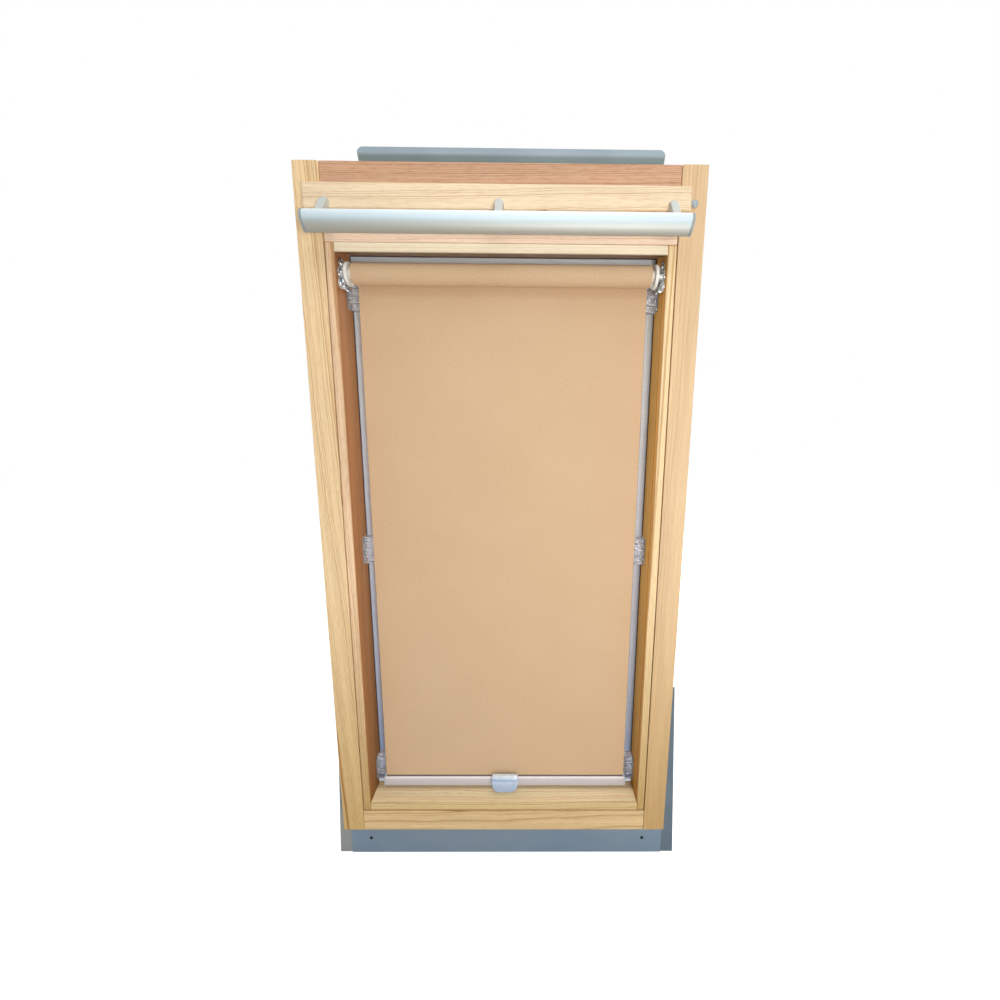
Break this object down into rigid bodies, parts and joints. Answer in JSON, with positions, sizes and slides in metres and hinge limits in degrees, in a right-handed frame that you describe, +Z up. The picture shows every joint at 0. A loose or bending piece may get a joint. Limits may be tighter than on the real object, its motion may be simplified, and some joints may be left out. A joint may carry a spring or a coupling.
{
  "type": "roof window with roller blind",
  "caption": "Centre-pivot pine roof window with a ventilation flap and pull bar, fitted with a spring roller blind whose bottom rail hooks into clear catch claws.",
  "frame": {"origin": "middle of the underside of the frame's foot rail, in the plane of the sash pivots", "axes": "+Z up along the window, +X to the right as seen from the room, -Y into the room"},
  "size_m": [0.655, 0.1449, 1.2337],
  "materials": {
    "pine": "clear lacquered pine",
    "red_pine": "clear lacquered redder pine",
    "grey_cover": "grey coated aluminium sheet",
    "glass": "clear float glass",
    "spacer": "mill finish",
    "anodised": "natural anodised, satin",
    "white_rail": "white powder coat",
    "steel": "bright zinc plated",
    "cast_arm": "grey painted zinc casting",
    "white_plastic": "moulded white",
    "grey_plastic": "moulded grey",
    "clear_plastic": "clear polycarbonate",
    "pale_plastic": "moulded pale grey",
    "fabric": "coated blackout cloth",
    "fleece": "filter fleece"
  },
  "bodies": {
    "frame": {"jamb_left": "pine", "jamb_right": "pine", "head_rail": "red_pine", "foot_rail": "pine", "vent_filter": "fleece", "strike_plate": "steel", "frame_pivot_left": "steel", "frame_pivot_right": "steel", "jamb_cap": "grey_plastic", "side_cover_left": "grey_cover", "side_cover_right": "grey_cover", "foot_cover": "grey_cover", "top_hood": "grey_cover", "apron": "grey_cover", "apron_strip_left": "grey_cover", "apron_strip_right": "grey_cover"},
    "sash": {"sash_stile_left": "pine", "sash_stile_right": "pine", "sash_top_rail": "pine", "sash_head_lining": "pine", "sash_sill": "pine", "inner_pane": "glass", "outer_pane": "glass", "pane_spacer": "spacer", "sash_cover_left": "grey_cover", "sash_cover_right": "grey_cover", "sash_cover_foot": "grey_cover", "sash_cover_head": "grey_cover", "sash_pivot_left": "steel", "sash_pivot_right": "steel", "sash_hinge_leaf": "steel", "roller_bearer_left": "steel", "roller_bearer_right": "steel", "spring_axle": "steel", "claw_low_left": "clear_plastic", "claw_low_right": "clear_plastic", "claw_middle_left": "clear_plastic", "claw_middle_right": "clear_plastic", "claw_top_left": "clear_plastic", "claw_top_right": "clear_plastic", "blind_fabric": "fabric"},
    "flap": {"flap_board": "pine", "flap_hinge_strap": "steel", "bar_arm_left": "cast_arm", "bar_arm_centre": "cast_arm", "bar_arm_right": "cast_arm", "control_bar": "anodised", "bar_cap_left": "grey_plastic", "bar_cap_right": "grey_plastic"},
    "latch": {"latch_bolt": "steel"},
    "roller": {"roller_tube": "anodised", "fabric_roll": "fabric", "guide_disc_left": "white_plastic", "guide_disc_right": "white_plastic", "roller_spring": "steel"},
    "rail": {"bottom_rail": "white_rail", "rail_cap_left": "pale_plastic", "rail_cap_right": "pale_plastic", "pull_handle": "grey_plastic"}
  },
  "joints": [
    {"name": "sash_pivot", "type": "hinge", "parent": "frame", "child": "sash", "pos_m": [0, 0, 0.5015], "axis": [1, 0, 0], "range_deg": [0, 150]},
    {"name": "flap_tilt", "type": "hinge", "parent": "sash", "child": "flap", "pos_m": [-0.004, -0.0445, 0.9637], "axis": [1, 0, 0], "range_deg": [0, 25]},
    {"name": "latch_draw", "type": "slide", "parent": "sash", "child": "latch", "axis": [0, 0, -1], "range_m": [0, 0.008]},
    {"name": "rail_lift", "type": "slide", "parent": "sash", "child": "rail", "axis": [0, 0, 1], "range_m": [0, 0.794], "deforming": ["blind_fabric"]},
    {"name": "roller_spin", "type": "hinge", "parent": "sash", "child": "roller", "pos_m": [0, -0.022, 0.8965], "axis": [1, 0, 0], "range_deg": [0, 2930]}
  ],
  "couplings": [
    {"joint": "latch_draw", "follows": "flap_tilt", "m_per_rad": 0.0183},
    {"joint": "roller_spin", "follows": "rail_lift", "rad_per_m": 64.3}
  ]
}
